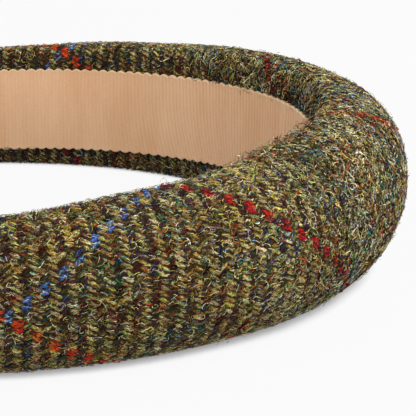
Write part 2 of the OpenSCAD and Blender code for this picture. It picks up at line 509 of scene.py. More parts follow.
def tweed_ground(settings):
    """Felted wool ground of the tweed, milled after weaving. It shows only in the gaps between floats: its
    dark colour is a painted shade for those deep gaps, mottled with the same wools. Its clumps are about 1 mm
    wide and its flecks half of that."""
    material, tree = new_material("tweed_felted_ground")
    place = add_node(tree, "ShaderNodeTexCoord").outputs["Object"]
    clumps = add_node(tree, "ShaderNodeTexNoise", links={
        "Vector": place, "Scale": 1 / (1.1 * MM), "Detail": 6.0, "Roughness": 0.75})
    ramp = add_node(tree, "ShaderNodeValToRGB", links={"Fac": clumps.outputs[0]})
    set_stops(ramp, (0.32, scaled(settings.ground, 0.35, 0.35, 0.35)),
              (0.75, scaled(settings.ground, 3.2, 3.2, 3.2)))
    fleck = add_node(tree, "ShaderNodeTexVoronoi", links={"Vector": place, "Scale": 1 / (0.5 * MM)})
    tint = add_node(tree, "ShaderNodeMix", {"data_type": "RGBA", "blend_type": "OVERLAY"}, {
        "Factor": 0.45, "A": ramp.outputs[0], "B": fleck.outputs["Color"]})
    bump = add_node(tree, "ShaderNodeBump", links={
        "Height": clumps.outputs[0], "Strength": 0.6, "Distance": 0.3 * MM})
    shader = add_node(tree, "ShaderNodeBsdfPrincipled", links={
        "Base Color": tint.outputs["Result"], "Normal": bump.outputs[0], "Roughness": 0.9,
        "Specular IOR Level": 0.05, "Sheen Weight": 0.04, "Sheen Roughness": 0.5,
    })
    finish_material(tree, shader)
    return material


def spun_yarn():
    """Woollen-spun yarn: fibres of many dyes lie side by side along it, turned by its twist, so it is
    streaked and flecked. A real streak is one fibre wide, too fine to show, so they are drawn 0.4 mm wide."""
    material, tree = new_material("woollen_spun_yarn")
    # The tint read here carries a painted shade, darker low between the floats and under the felt
    tint = add_node(tree, "ShaderNodeAttribute", {"attribute_name": "tint"}).outputs["Vector"]
    place = add_node(tree, "ShaderNodeAttribute", {"attribute_name": "yarn_place"}).outputs["Vector"]
    # The place counts millimetres along and across the yarn, so this sets the streaks' length and width
    stretched = add_node(tree, "ShaderNodeVectorMath", {"operation": "MULTIPLY"}, {
        0: place, 1: (1.1, 2.6, 1.0)})
    streak = add_node(tree, "ShaderNodeTexNoise", links={
        "Vector": stretched.outputs[0], "Scale": 1.0, "Detail": 2.0, "Roughness": 0.6, "Distortion": 0.8})
    shade = add_node(tree, "ShaderNodeMapRange", links={
        "Value": streak.outputs[0], "From Min": 0.36, "From Max": 0.66, "To Min": 0.12, "To Max": 2.1})
    fleck = add_node(tree, "ShaderNodeTexVoronoi", links={
        "Vector": stretched.outputs[0], "Scale": 0.9, "Randomness": 1.0})
    pick = add_node(tree, "ShaderNodeSeparateColor", links={"Color": fleck.outputs["Color"]})
    flecks = add_node(tree, "ShaderNodeValToRGB", links={"Fac": pick.outputs[0]})
    flecks.color_ramp.interpolation = "CONSTANT"
    # A new ramp has a stop at each end: the first takes the plain yarn, and the last is taken out
    for position, colour in FLECKS[1:]:
        flecks.color_ramp.elements.new(position).color = (*colour, 1)
    flecks.color_ramp.elements[0].color = (*FLECKS[0][1], 1)
    flecks.color_ramp.elements.remove(flecks.color_ramp.elements[-1])
    shaded = add_node(tree, "ShaderNodeVectorMath", {"operation": "MULTIPLY"}, {0: tint, 1: shade.outputs[0]})
    colour = add_node(tree, "ShaderNodeVectorMath", {"operation": "MULTIPLY"}, {
        0: shaded.outputs[0], 1: flecks.outputs[0]})
    bump = add_node(tree, "ShaderNodeBump", links={
        "Height": streak.outputs[0], "Strength": 0.5, "Distance": 0.15 * MM})
    shader = add_node(tree, "ShaderNodeBsdfPrincipled", links={
        "Base Color": colour.outputs[0], "Normal": bump.outputs[0], "Roughness": 0.85,
        "Specular IOR Level": 0.05, "Sheen Weight": 0.04, "Sheen Roughness": 0.4,
    })
    finish_material(tree, shader)
    return material


def petersham(settings):
    """Petersham grosgrain, a cotton and viscose ribbon woven with thick wefts. It is matt across its ribs
    with a faint sheen. It is redder and darker in the grooves and lighter on the ribs, partly its warp's own
    colour and partly painted shade and highlight, paler along the selvedges in a painted highlight, and
    lighter along the arms in painted light. Its colour drifts in streaks along the ribs, 9 mm wide and
    longer, where the dye took unevenly. Its grain is 0.5 mm."""
    material, tree = new_material("petersham_grosgrain")
    place = add_node(tree, "ShaderNodeTexCoord").outputs["Object"]
    streaks = add_node(tree, "ShaderNodeVectorMath", {"operation": "MULTIPLY"}, {
        0: place, 1: (1.0, 1.0, 0.22)})
    drift = add_node(tree, "ShaderNodeTexNoise", links={
        "Vector": streaks.outputs[0], "Scale": 1 / (9 * MM), "Detail": 3.0, "Roughness": 0.65})
    grain = add_node(tree, "ShaderNodeTexNoise", links={
        "Vector": place, "Scale": 1 / (0.5 * MM), "Detail": 3.0})
    uneven = add_node(tree, "ShaderNodeMix", {"data_type": "FLOAT"}, {
        "Factor": 0.35, "A": drift.outputs[0], "B": grain.outputs[0]})
    ramp = add_node(tree, "ShaderNodeValToRGB", links={"Fac": uneven.outputs[0]})
    set_stops(ramp, (0.35, scaled(settings.colour, 0.88, 0.81, 0.76)),
              (0.65, scaled(settings.colour, 1.0, 1.04, 1.11)))
    rib = add_node(tree, "ShaderNodeAttribute", {"attribute_name": "rib"}).outputs["Vector"]
    where = add_node(tree, "ShaderNodeSeparateXYZ", links={"Vector": rib})
    # Painted shade and highlight, partly the warp's own colour: grooves redder and darker, ribs lighter
    groove_shade_and_rib_highlight = add_node(tree, "ShaderNodeMix", {"data_type": "RGBA"}, {
        "Factor": where.outputs["X"], "A": (0.97, 0.86, 0.78, 1), "B": (1.06, 1.12, 1.15, 1)})
    # Painted highlight along the selvedges
    selvedge_highlight = add_node(tree, "ShaderNodeMix", {"data_type": "RGBA"}, {
        "Factor": where.outputs["Y"], "A": groove_shade_and_rib_highlight.outputs["Result"], "B": (1.12, 1.25, 1.3, 1)})
    ribbed = add_node(tree, "ShaderNodeVectorMath", {"operation": "MULTIPLY"}, {
        0: ramp.outputs[0], 1: selvedge_highlight.outputs["Result"]})
    # Painted light: the ribbon is lighter along the arms
    painted_arms_gain = add_node(tree, "ShaderNodeMath", {"operation": "MULTIPLY_ADD"}, {
        0: where.outputs["Z"], 1: 0.05, 2: 1.0})
    painted_arms_lit = add_node(tree, "ShaderNodeVectorMath", {"operation": "SCALE"}, {
        0: ribbed.outputs[0], "Scale": painted_arms_gain.outputs[0]})
    bump = add_node(tree, "ShaderNodeBump", links={
        "Height": grain.outputs[0], "Strength": 0.25, "Distance": 0.1 * MM})
    shader = add_node(tree, "ShaderNodeBsdfPrincipled", links={
        "Base Color": painted_arms_lit.outputs[0], "Normal": bump.outputs[0], "Roughness": 0.7,
        "Specular IOR Level": 0.25, "Sheen Weight": 0.15, "Sheen Roughness": 0.3,
    })
    finish_material(tree, shader)
    return material


# Painted shadow on the floor's paper, where ambient occlusion dims its glow: how far out the headband darkens
# it, close all round it, and wider beyond the crown, as though the light came over it. The second looks for
# the headband along AWAY, back from the crown and up.
CLOSE_PAINTED_SHADOW, WIDE_PAINTED_SHADOW, AWAY = 2.6 * MM, 4.2 * MM, (0.0, -0.9, 0.43)


def studio_paper(settings):
    """Matt white studio paper that glows evenly, with a painted shadow close beside the headband where
    ambient
    occlusion dims the glow: one all round it, times a softer one beyond the crown."""
    material, tree = new_material("studio_paper")
    near = add_node(tree, "ShaderNodeAmbientOcclusion", {"samples": 16}, {"Distance": CLOSE_PAINTED_SHADOW})
    shadow = add_node(tree, "ShaderNodeMapRange", {"interpolation_type": "SMOOTHSTEP"}, {
        "Value": near.outputs["AO"], "From Min": -0.14, "From Max": 0.96, "To Min": 0.45, "To Max": 0.935})
    lean = add_node(tree, "ShaderNodeVectorMath", {"operation": "NORMALIZE"}, {0: AWAY})
    wide = add_node(tree, "ShaderNodeAmbientOcclusion", {"samples": 16}, {
        "Distance": WIDE_PAINTED_SHADOW, "Normal": lean.outputs[0]})
    painted_wide_shadow = add_node(tree, "ShaderNodeMapRange", {"interpolation_type": "SMOOTHSTEP"}, {
        "Value": wide.outputs["AO"], "From Min": 0.15, "From Max": 0.8, "To Min": 0.5, "To Max": 1.0})
    both = add_node(tree, "ShaderNodeMath", {"operation": "MULTIPLY"}, {
        0: shadow.outputs[0], 1: painted_wide_shadow.outputs[0]})
    shader = add_node(tree, "ShaderNodeBsdfPrincipled", links={
        "Base Color": (*settings.floor_colour, 1), "Roughness": 1.0, "Specular IOR Level": 0.0,
        "Emission Color": (1, 1, 1, 1), "Emission Strength": both.outputs[0],
    })
    finish_material(tree, shader)
    return material


def bounce_board(settings):
    """Grey board that throws part of the light back up at the headband from below."""
    material, tree = new_material("grey_bounce_board")
    finish_material(tree, add_node(tree, "ShaderNodeBsdfDiffuse", links={"Color": (*settings.bounce, 1)}))
    return material


def mesh_object(name, vertices, faces, materials, face_materials=None):
    """A smooth mesh object from arrays of points and faces, all faces with the same number of corners."""
    mesh = bpy.data.meshes.new(name)
    mesh.vertices.add(len(vertices))
    mesh.vertices.foreach_set("co", np.ascontiguousarray(vertices, np.float32).ravel())
    mesh.loops.add(faces.size)
    mesh.loops.foreach_set("vertex_index", faces.astype(np.int32).ravel())
    mesh.polygons.add(len(faces))
    mesh.polygons.foreach_set("loop_start", np.arange(0, faces.size, faces.shape[1], dtype=np.int32))
    for material in materials:
        mesh.materials.append(material)
    if face_materials is not None:
        mesh.polygons.foreach_set("material_index", face_materials.astype(np.int32))
    mesh.update(calc_edges=True)
    mesh.polygons.foreach_set("use_smooth", np.ones(len(faces), bool))
    piece = bpy.data.objects.new(name, mesh)
    bpy.context.scene.collection.objects.link(piece)
    return piece


def paint_points(piece, name, values):
    """Gives each point of a piece three numbers that its material reads."""
    layer = piece.data.attributes.new(name, "FLOAT_VECTOR", "POINT")
    layer.data.foreach_set("vector", np.ascontiguousarray(values, np.float32).ravel())


def wrapped_faces(rows, columns):
    """Faces of a grid that closes round its columns."""
    i, j = np.meshgrid(np.arange(rows - 1), np.arange(columns), indexing="ij")
    a, b = i * columns + j, i * columns + (j + 1) % columns
    return np.stack([a, a + columns, b + columns, b], -1).reshape(-1, 4)


def close_ends(piece, columns):
    """Closes the first and last rings of a lofted skin, and turns its faces outward."""
    skin = bmesh.new()
    skin.from_mesh(piece.data)
    skin.verts.ensure_lookup_table()
    skin.faces.new(skin.verts[:columns])
    skin.faces.new(skin.verts[-columns:])
    bmesh.ops.recalc_face_normals(skin, faces=skin.faces)
    skin.to_mesh(piece.data)
    skin.free()
    return piece


# Relief of the cover under the fibres: how far a float falls away at its sides, how high the dark yarn's
# floats are beside the light yarn's, and how much of the cloth's full relief the felted cover keeps
SIDE_FALL, DARK_HEIGHT, COVER_RELIEF = 0.9, 0.75, 0.6


def weave_height(form, angle, distance):
    """Height of the woven relief over the ground, from whichever yarn is on top."""
    i, j = weave_place(form, angle, distance)
    # How far each place is along the float beside it, in yarns from the float's middle
    light_phase = (np.round(i) + j - 0.5 + 2) % 4 - 2
    dark_phase = (i + np.round(j) - 2.5 + 2) % 4 - 2
    light = np.cos(light_phase * math.pi / 2) - SIDE_FALL * (2 * (i - np.round(i))) ** 2
    dark = DARK_HEIGHT * np.cos(dark_phase * math.pi / 2) - SIDE_FALL * (2 * (j - np.round(j))) ** 2
    return form.tweed.relief * (np.maximum(light, dark) - 1) * COVER_RELIEF


# Fineness of the cover, along the band and round it
COVER_ROWS, COVER_COLUMNS = 360, 64


def make_cover(form):
    """The tweed cover over the padding, one closed skin. Under the ribbon it is plain and a little sunk."""
    angles = np.linspace(-form.last_angle, form.last_angle, COVER_ROWS)
    share = (np.arange(COVER_COLUMNS) + 0.5) / COVER_COLUMNS
    low = np.interp(angles, form.angles, form.low)[:, None]
    high = np.interp(angles, form.angles, form.high)[:, None]
    distance = low + (high - low) * share[None, :]
    angle = np.repeat(angles[:, None], COVER_COLUMNS, 1)
    covered = form.under_ribbon(angle, distance, -PLAIN_BESIDE)
    height = np.where(covered, -SUNK, weave_height(form, angle, distance))
    points, _ = form.cloth(angle, distance, height)
    skin = mesh_object("tweed_cover", points.reshape(-1, 3), wrapped_faces(COVER_ROWS, COVER_COLUMNS),
                       [tweed_ground(form.tweed)])
    return close_ends(skin, COVER_COLUMNS)


# How strongly a tone picks among the wools, beside a warmth or a greenness
TONE_PULL = 1.6
# Share of its width that a fibre keeps at its two ends
FIBRE_END = 0.1


def draw_dyes(rng, dyes, kinds, mood):
    """One dye for each fibre, from the recipe of its yarn. A mood is a tone, over 0 where the lighter wools
    are favoured, a warmth, over 0 where the redder and browner ones are, and a greenness."""
    picked = np.zeros(len(kinds), int)
    red, green, blue = np.array([tuple(d.colour) for d in dyes]).T
    total = red + green + blue
    traits = np.stack([TONE_PULL * np.sqrt(total), (red - blue) / total, (green - red) / total])
    traits -= traits.mean(1, keepdims=True)
    for number, yarn in enumerate(YARNS):
        mine = np.where(kinds == number)[0]
        if not len(mine):
            continue
        shares = np.array([getattr(d, yarn) for d in dyes], float)
        weights = shares[None, :] * np.exp(mood[mine] @ traits)
        ladder = np.cumsum(weights, 1) / weights.sum(1, keepdims=True)
        picked[mine] = (rng.random(len(mine))[:, None] > ladder).sum(1)
    return picked


def fibre_object(name, points, normals, widths, roll, dye, materials):
    """Flat tapering fibres along rows of points, one triangle from each point to the next but one, each fibre
    turned a little about its own length."""
    along = np.gradient(points, axis=1)
    along /= np.maximum(np.linalg.norm(along, axis=2, keepdims=True), 1e-12)
    side = np.cross(along, normals)
    side /= np.maximum(np.linalg.norm(side, axis=2, keepdims=True), 1e-12)
    rise = np.cross(side, along)
    turned = side * np.cos(roll)[:, None, None] + rise * np.sin(roll)[:, None, None]
    count, steps = points.shape[:2]
    step = np.arange(steps)
    edge = np.where(step % 2, 0.5, -0.5) * np.where(step % (steps - 1) == 0, FIBRE_END, 1)
    vertices = (points + turned * (widths[:, None] * edge[None, :])[..., None]).reshape(-1, 3)
    vertices[:, 2] = np.maximum(vertices[:, 2], 0)
    first = (np.arange(count)[:, None] * steps + np.arange(steps - 2)[None, :]).reshape(-1)
    odd = np.tile(np.arange(steps - 2) % 2, count)
    faces = np.stack([first, first + 1 + odd, first + 2 - odd], 1)
    return mesh_object(name, vertices, faces, materials, np.repeat(dye, steps - 2))


# Painted shade on the cloth's inner turn beside the ribbon: how much darker its tone is, and how far from the
# seat it fades
RIBBON_SIDE_SHADE, RIBBON_SIDE_SHADE_FADES = 1.4, (2 * MM, 8 * MM)
# Patches of the cloth: the range of their waves in millimetres, and the number that their draw starts with.
# The fine ones are clumps of fibre, and the broad ones the uneven carding of the wool.
PATCH_WAVES = 9
PATCHES = {
    "tone": ((2.2, 7.0), 1),
    "warmth": ((7, 30), 2),
    "broad tone": ((9, 34), 3),
    "fine warmth": ((1.6, 4.5), 4),
    "green": ((1.8, 5.5), 5),
}


def shade_beside_ribbon(form, angle, distance):
    """Over 0 near the ribbon: a painted shade on the inner turn, where the cloth takes darker wool."""
    seat_low, seat_high = form.seat(angle)
    to_seat = np.minimum(seat_high - distance, distance - seat_low)
    return RIBBON_SIDE_SHADE * (1 - smooth(to_seat, *RIBBON_SIDE_SHADE_FADES))


def patches(form, angle, distance, kind):
    """Patches of cloth of one kind, about -1 to 1."""
    waves, start = PATCHES[kind]
    draw = np.random.default_rng(form.tweed.seed + start)
    run = form.run_at(angle) / MM
    total = np.zeros(np.shape(angle))
    for _ in range(PATCH_WAVES):
        wave, way, phase = draw.uniform(*waves), draw.uniform(0, math.pi), draw.uniform(0, 2 * math.pi)
        total += np.sin((run * math.cos(way) + distance / MM * math.sin(way)) * 2 * math.pi / wave + phase)
    return total / math.sqrt(PATCH_WAVES)


def moods(form, angle, distance, tones):
    """Tones with the warmth and greenness of each place: wide and narrow patches where more red and brown
    wool was carded in, or more green, or more blue. The arms take a little more dark wool, a painted falloff
    of the light along them, and the cloth between them and the crown a little more light wool."""
    arms = smooth(np.abs(form.run_at(angle)), *ARMS_PAINTED_FALLOFF)
    crown = crown_share(form, angle)
    warmth = 1.1 * patches(form, angle, distance, "warmth") + (0.6 + 0.5 * crown) * patches(
        form, angle, distance, "fine warmth")
    green = (0.8 + 0.6 * crown) * patches(form, angle, distance, "green") - 0.4 * arms
    return np.stack([tones - 0.5 * arms + 0.35 * (1 - crown) * (1 - arms), warmth, green], -1)


def yarn_kinds(numbers, base, checks):
    """Which yarn each number is: the plain one or a thread of the overcheck."""
    kinds = np.full(len(numbers), YARNS.index(base))
    for start, colour in checks.items():
        kinds[(numbers == start) | (numbers == start + 1)] = YARNS.index(colour)
    return kinds


def in_check(kinds):
    """True for the coloured yarns of the overcheck."""
    return kinds >= YARNS.index("crimson")


class YarnLay(NamedTuple):
    """How the floats of one yarn lie. The last five say how a thread of the overcheck differs from them."""
    height: float  # of its floats, as a share of the relief
    twist: float  # turn of its fibres from the run of the yarn, in radians
    spread: float  # of the fibres' headings, in radians
    shade: float  # of its body
    body_start: float  # where its body's pattern starts, so that the two yarns' don't match
    check_twist: float  # turn of its fibres beyond the twist, in radians
    check_lane: float  # width over which its fibres lie, beyond the plain float's, in yarns
    check_length: float  # of its floats
    check_fibre: float  # width of its fibres
    check_body: float  # width of its body


LIGHT_LAY = YarnLay(1.0, math.radians(-20), 0.32, 1.05, 0, 0, 0.9, 0.7, 1.75, 1.25)
DARK_LAY = YarnLay(0.85, math.radians(20), 0.5, 0.85, 500, 0.35, 0.1, 0.45, 1.3, 0.85)
# Points along a fibre of a float, a loose fibre and a stray one, and how many stray ones there are
FLOAT_STEPS, LOOSE_STEPS, STRAY_STEPS, STRAYS = 6, 9, 18, 900
# A float spans 2.5 yarns, from where it rises to where it dives again, and its fibres have these lengths
FLOAT_SPAN, FLOAT_REACH = 2.5, (0.6 * MM, 1.8 * MM)


def fibre_lines(form, rng, angle, distance, reach, heading, curl, waver, steps):
    """Angles and distances round of curved lines over the cloth, each with its middle at a given place."""
    count = len(angle)
    t = np.linspace(-0.5, 0.5, steps)[None, :]
    wander = np.cumsum(rng.normal(0, 1, (count, steps)), 1) * waver[:, None]
    turned = heading[:, None] + curl[:, None] * t + wander - wander.mean(1, keepdims=True)
    step = (reach / (steps - 1))[:, None]
    run, rise = np.cumsum(np.cos(turned) * step, 1), np.cumsum(np.sin(turned) * step, 1)
    run, rise = run - run.mean(1, keepdims=True), rise - rise.mean(1, keepdims=True)
    return angle[:, None] + run / form.stride(angle)[:, None], distance[:, None] + rise


def floats(form, light):
    """Yarn and middle of every float of one yarn, and what kind of yarn each is."""
    # Enough yarns to cross the whole band
    reach = int(2 * form.wales[-1] + max(form.round[-1], -form.round[0]) / form.tweed.float_pitch) + 4
    yarn, cross = np.meshgrid(np.arange(-reach, reach), np.arange(-reach, reach), indexing="ij")
    top = (yarn + cross) % 4 == (0 if light else 2)
    yarn, cross = yarn[top], cross[top] + 0.5
    angle, distance = cloth_place(form, *((yarn, cross) if light else (cross, yarn)))
    kept = form.shown(angle, distance) & (np.abs((yarn + cross) / 4) < form.wales[-1])
    yarn, cross = yarn[kept], cross[kept]
    kinds = yarn_kinds(yarn, "light" if light else "dark", LIGHT_CHECKS if light else DARK_CHECKS)
    return yarn, cross, kinds


# A yarn body is a grid of points: where its rings are along the float, in yarns from its middle, how wide
# each is, and where its columns are across, in yarns
BODY_RINGS, BODY_WIDTHS, BODY_COLUMNS = (-1.15, -0.55, 0.55, 1.15), (0.45, 1.0, 1.0, 0.45), (-0.5, 0.0, 0.5)


def yarn_bodies(form, rng, light):
    """The twisted yarn of every float, a low mound under its fibres: points, their places on the yarn in
    millimetres, their shade (a painted shade with a random tone), and each float's kind and mood."""
    lay = LIGHT_LAY if light else DARK_LAY
    yarn, cross, kinds = floats(form, light)
    along = np.array(BODY_RINGS)[None, :, None]
    across = np.array(BODY_COLUMNS)[None, None, :]
    girth = np.array(BODY_WIDTHS)[None, :, None]
    slip = rng.normal(0, 0.08, (len(yarn), len(BODY_RINGS), len(BODY_COLUMNS)))
    slide = rng.normal(0, 0.1, (len(yarn), 1, 1))
    past = cross[:, None, None] + along * rng.uniform(0.75, 1.15, (len(yarn), 1, 1)) + slip + slide
    fuller = np.where(in_check(kinds), lay.check_body, 1)[:, None, None]
    plump = rng.uniform(0.95, 1.3, (len(yarn), 1, 1)) * fuller
    beside = yarn[:, None, None] + across * girth * plump + slip[::-1] + 0 * past
    i, j = (beside, past) if light else (past, beside)
    angle, distance = cloth_place(form, i, j)

    # The mound is rounded across, and flatter and more felted toward the crown
    crown = crown_share(form, angle)
    relief = form.tweed.relief * lay.height * (1 - 0.7 * crown)
    arch = np.cos(along * math.pi / FLOAT_SPAN) - 5.0 * (across * girth) ** 2
    points, _ = form.cloth(angle, distance, relief * (arch - 0.25) - 0.08 * MM)
    pitch = form.tweed.float_pitch / MM
    places = np.stack([past * pitch, (beside + 0.25 * past) * pitch, 0 * past + lay.body_start], -1)

    # Painted shade: darker low between the floats and where the felt covers it; the felt spares the overcheck
    felted = crown * np.where(in_check(kinds), 0.2, 1)[:, None, None]
    shade = (0.2 + 0.8 * np.clip(arch + 0.3, 0, 1)) * lay.shade * (1 - 0.75 * felted)
    middle = angle[:, 1, 1], distance[:, 1, 1]
    patch = patches(form, *middle, "tone")
    shade = shade * (1 + 0.22 * patch)[:, None, None]
    tones = rng.normal(0, 0.6, len(yarn)) + 0.4 * patch - shade_beside_ribbon(form, *middle)
    return points, places, shade, kinds, moods(form, *middle, tones)


def make_bodies(form, rng):
    """One piece with the bodies of all yarns."""
    dyes = bpy.context.scene.headband_dyes
    parts = [yarn_bodies(form, rng, light) for light in (True, False)]
    points, places, shade, kinds, mood = (np.concatenate(both) for both in zip(*parts))
    base = np.array([YARNS.index("light_body"), YARNS.index("dark_body")])
    kinds = np.where(kinds < len(base), base[np.minimum(kinds, 1)], kinds)
    colours = np.array([tuple(d.colour) for d in dyes])
    tint = colours[draw_dyes(rng, dyes, kinds, mood)] + colours[draw_dyes(rng, dyes, kinds, mood)]

    rings, columns = len(BODY_RINGS), len(BODY_COLUMNS)
    corner = np.array([r * columns + c for r in range(rings - 1) for c in range(columns - 1)])
    grid = np.stack([corner, corner + 1, corner + columns + 1, corner + columns], 1)
    faces = (np.arange(len(points))[:, None, None] * rings * columns + grid[None]).reshape(-1, 4)
    light_faces = len(parts[0][0]) * len(corner)
    # The dark yarn's grids are mirror images of the light yarn's, so their faces are turned round
    faces[light_faces:] = faces[light_faces:, ::-1]
    piece = mesh_object("yarn_bodies", points.reshape(-1, 3), faces, [spun_yarn()])
    # Each point's tint is its float's dyes times the painted shade
    paint_points(piece, "tint", tint[:, None, None, :] / 2 * shade[..., None])
    paint_points(piece, "yarn_place", places)
    return piece


def float_fibres(form, rng, light):
    """Fibres of every float of one yarn: their points, normals, widths, turns, yarn kinds and moods."""
    tweed, lay = form.tweed, LIGHT_LAY if light else DARK_LAY
    yarn, cross, kinds = floats(form, light)
    slub = rng.normal(0, 0.3, yarn.max() - yarn.min() + 1)[yarn - yarn.min()]
    tones = rng.normal(0.0, 0.8, len(yarn)) + slub
    slide = rng.normal(0, 0.12, len(yarn))

    # Each float's fibres lie in lanes across it. The felted crown keeps about half of them.
    fibres = tweed.light_fibres if light else tweed.dark_fibres
    owner = np.repeat(np.arange(len(yarn)), fibres)
    rank = np.tile(np.arange(fibres), len(yarn))
    yarn, cross, kinds, tones, slide = (v[owner] for v in (yarn, cross, kinds, tones, slide))
    angle, _ = cloth_place(form, *((yarn, cross) if light else (cross, yarn)))
    crown = crown_share(form, angle) * np.where(in_check(kinds), 0.1, 1)
    kept = rng.random(len(owner)) > 0.55 * crown
    yarn, cross, kinds, tones, slide, crown, rank = (
        v[kept] for v in (yarn, cross, kinds, tones, slide, crown, rank))
    count, check = len(yarn), in_check(kinds)
    lane = (rank + rng.random(count)) / fibres - 0.5
    lane = lane * (0.85 + 1.35 * crown + lay.check_lane * check)
    short = np.where(check, lay.check_length, 1)
    middle = cross + rng.uniform(-0.85, 0.85, count) * (1 + crown) * short + slide * ~check
    centre = (yarn + lane, middle) if light else (middle, yarn + lane)
    ahead = (yarn + lane, middle + 0.5) if light else (middle + 0.5, yarn + lane)
    angle, distance = cloth_place(form, *centre)
    angle_on, distance_on = cloth_place(form, *ahead)

    # They head along the yarn, turned by its twist, and less and less orderly toward the crown
    run, rise = (angle_on - angle) * form.stride(angle), distance_on - distance
    heading = np.arctan2(rise, run) + (lay.twist + lay.check_twist * check)
    heading += rng.normal(0, 1, count) * (lay.spread + 1.2 * crown)
    reach = rng.uniform(*FLOAT_REACH, count) * np.where(check, 0.85, 1)
    curl = rng.normal(0, 1, count) * (1.2 + 3 * crown) - 0.5 * (1 - crown)
    angles, distances = fibre_lines(form, rng, angle, distance, reach, heading, curl, 0.16 + 0.3 * crown,
                                    FLOAT_STEPS)

    # They arch over the yarn that the float crosses, and lower at its sides
    i, j = weave_place(form, angles, distances)
    past = (j if light else i) - cross[:, None]
    beside = (i if light else j) - yarn[:, None]
    arch = np.cos(np.clip(past / (FLOAT_SPAN / 2), -1.5, 1.5) * math.pi / 2) - 1.4 * beside ** 2
    relief = tweed.relief * lay.height * (1 - crown)
    rough = (rng.normal(0, 1, count) * (0.07 + 0.1 * crown) + 0.15 * check) * MM
    height = relief[:, None] * arch + (rough + 0.35 * crown * tweed.relief - 0.05 * MM)[:, None]
    points, normals = form.cloth(angles, distances, height)
    width = tweed.fibre_width * rng.uniform(0.6, 1.25, count) * np.where(check, lay.check_fibre, 1)

    # Painted light and shade: fibres on top of a float take lighter wools and those at its sides and ends
    # darker ones
    edge = ((2 * lane) ** 2 + 0.7 * (middle - cross) ** 2) * (1 - crown)
    tones = tones + rng.normal(0, 1.5, count) + 0.6 - 1.2 * edge
    tones = tones + patches(form, angle, distance, "tone") * 0.6 - shade_beside_ribbon(form, angle, distance)
    return points, normals, width, rng.normal(0, 0.5, count), kinds, moods(form, angle, distance, tones)


# How far a pair of overcheck threads reaches past the middles of its two yarns, in yarns
CHECK_EDGE = 0.7


def over_check(form, angle, distance):
    """True over a pair of overcheck threads."""
    i, j = weave_place(form, angle, distance)
    on = np.zeros(np.shape(angle), bool)
    for count, checks in ((i, LIGHT_CHECKS), (j, DARK_CHECKS)):
        for start in checks:
            on |= (count > start - CHECK_EDGE) & (count < start + 1 + CHECK_EDGE)
    return on


# Places drawn for each loose fibre kept, and how likely one is kept on the arms and over the overcheck
LOOSE_TRIES, LOOSE_ON_ARMS, LOOSE_ON_CHECK = 6, 0.2, 0.3
# Middle length of a loose fibre, and the part of those at the crown that stand off it, with their reach
LOOSE_LENGTH, PROUD_PART, PROUD_REACH = 2.1 * MM, 0.02, 0.8 * MM


def loose_fibres(form, rng):
    """Curly fibres that the milling drew out of the yarns, most of them lying close and some standing off."""
    tweed = form.tweed
    tries = tweed.loose_fibres * LOOSE_TRIES
    angle = rng.uniform(-form.last_angle, form.last_angle, tries)
    distance = rng.uniform(form.round[0], form.round[-1], tries)
    likely = LOOSE_ON_ARMS + (1 - LOOSE_ON_ARMS) * crown_share(form, angle)
    likely = likely * np.where(over_check(form, angle, distance), LOOSE_ON_CHECK, 1)
    kept = np.where(form.shown(angle, distance) & (rng.random(tries) < likely))[0][:tweed.loose_fibres]
    angle, distance, count = angle[kept], distance[kept], len(kept)
    crown = crown_share(form, angle)

    # Each lies deep in the felt or above it, where it is longer. Its tone paints light and shade by that
    # depth.
    above = rng.random(count)
    reach = rng.lognormal(math.log(LOOSE_LENGTH), 0.35, count) * (0.85 + 0.4 * above) * (1 + 0.15 * crown)
    heading = rng.uniform(0, 2 * math.pi, count)
    way = rng.choice([-1, 1], count)
    curl = way * (1.0 + 0.6 * crown + np.abs(rng.normal(0, 1, count)) * (2.4 + 0.8 * crown))
    angles, distances = fibre_lines(form, rng, angle, distance, reach, heading, curl, 0.3 + 0.1 * crown,
                                    LOOSE_STEPS)
    t = np.linspace(0, 1, LOOSE_STEPS)[None, :]
    proud = rng.random(count) < PROUD_PART * crown
    stand = rng.exponential(0.12 * MM, count) + np.where(proud, rng.uniform(0, PROUD_REACH, count), 0)
    rest = tweed.relief * (0.6 + 0.1 * above - 0.6 * crown * (1 - above))
    bow = np.sin(math.pi * np.clip(t * rng.uniform(0.55, 1.0, count)[:, None], 0, 1))
    points, normals = form.cloth(angles, distances, rest[:, None] + stand[:, None] * bow)
    width = tweed.fibre_width * rng.uniform(0.6, 1.0, count) * (0.85 + 0.25 * crown)
    kinds = np.full(count, YARNS.index("loose"))
    # Painted light and shade: fibres above take lighter wools and those deep in the felt darker ones, most at
    # the crown
    tones = rng.normal(0, 1.6, count) + (above - 0.5) * (1.0 + 3.5 * crown) - 0.8 - 0.4 * crown
    tones = tones + patches(form, angle, distance, "tone") * 0.5
    tones = tones + patches(form, angle, distance, "broad tone") * 0.5 * crown
    tones = tones - shade_beside_ribbon(form, angle, distance)
    return points, normals, width, rng.normal(0, 0.8, count), kinds, moods(form, angle, distance, tones)


# Stray fibres: their middle angle from the crown and its spread, the part on the far arm's side and the part
# over the ribbon, their middle length, and the least and most that they stand off
STRAY_ANGLE, STRAY_SPREAD = math.radians(33), math.radians(9)
STRAY_FAR, STRAY_UPPER = 0.15, 0.75
STRAY_LENGTH, STRAY_STAND = 6.5 * MM, (0.2 * MM, 3.4 * MM)


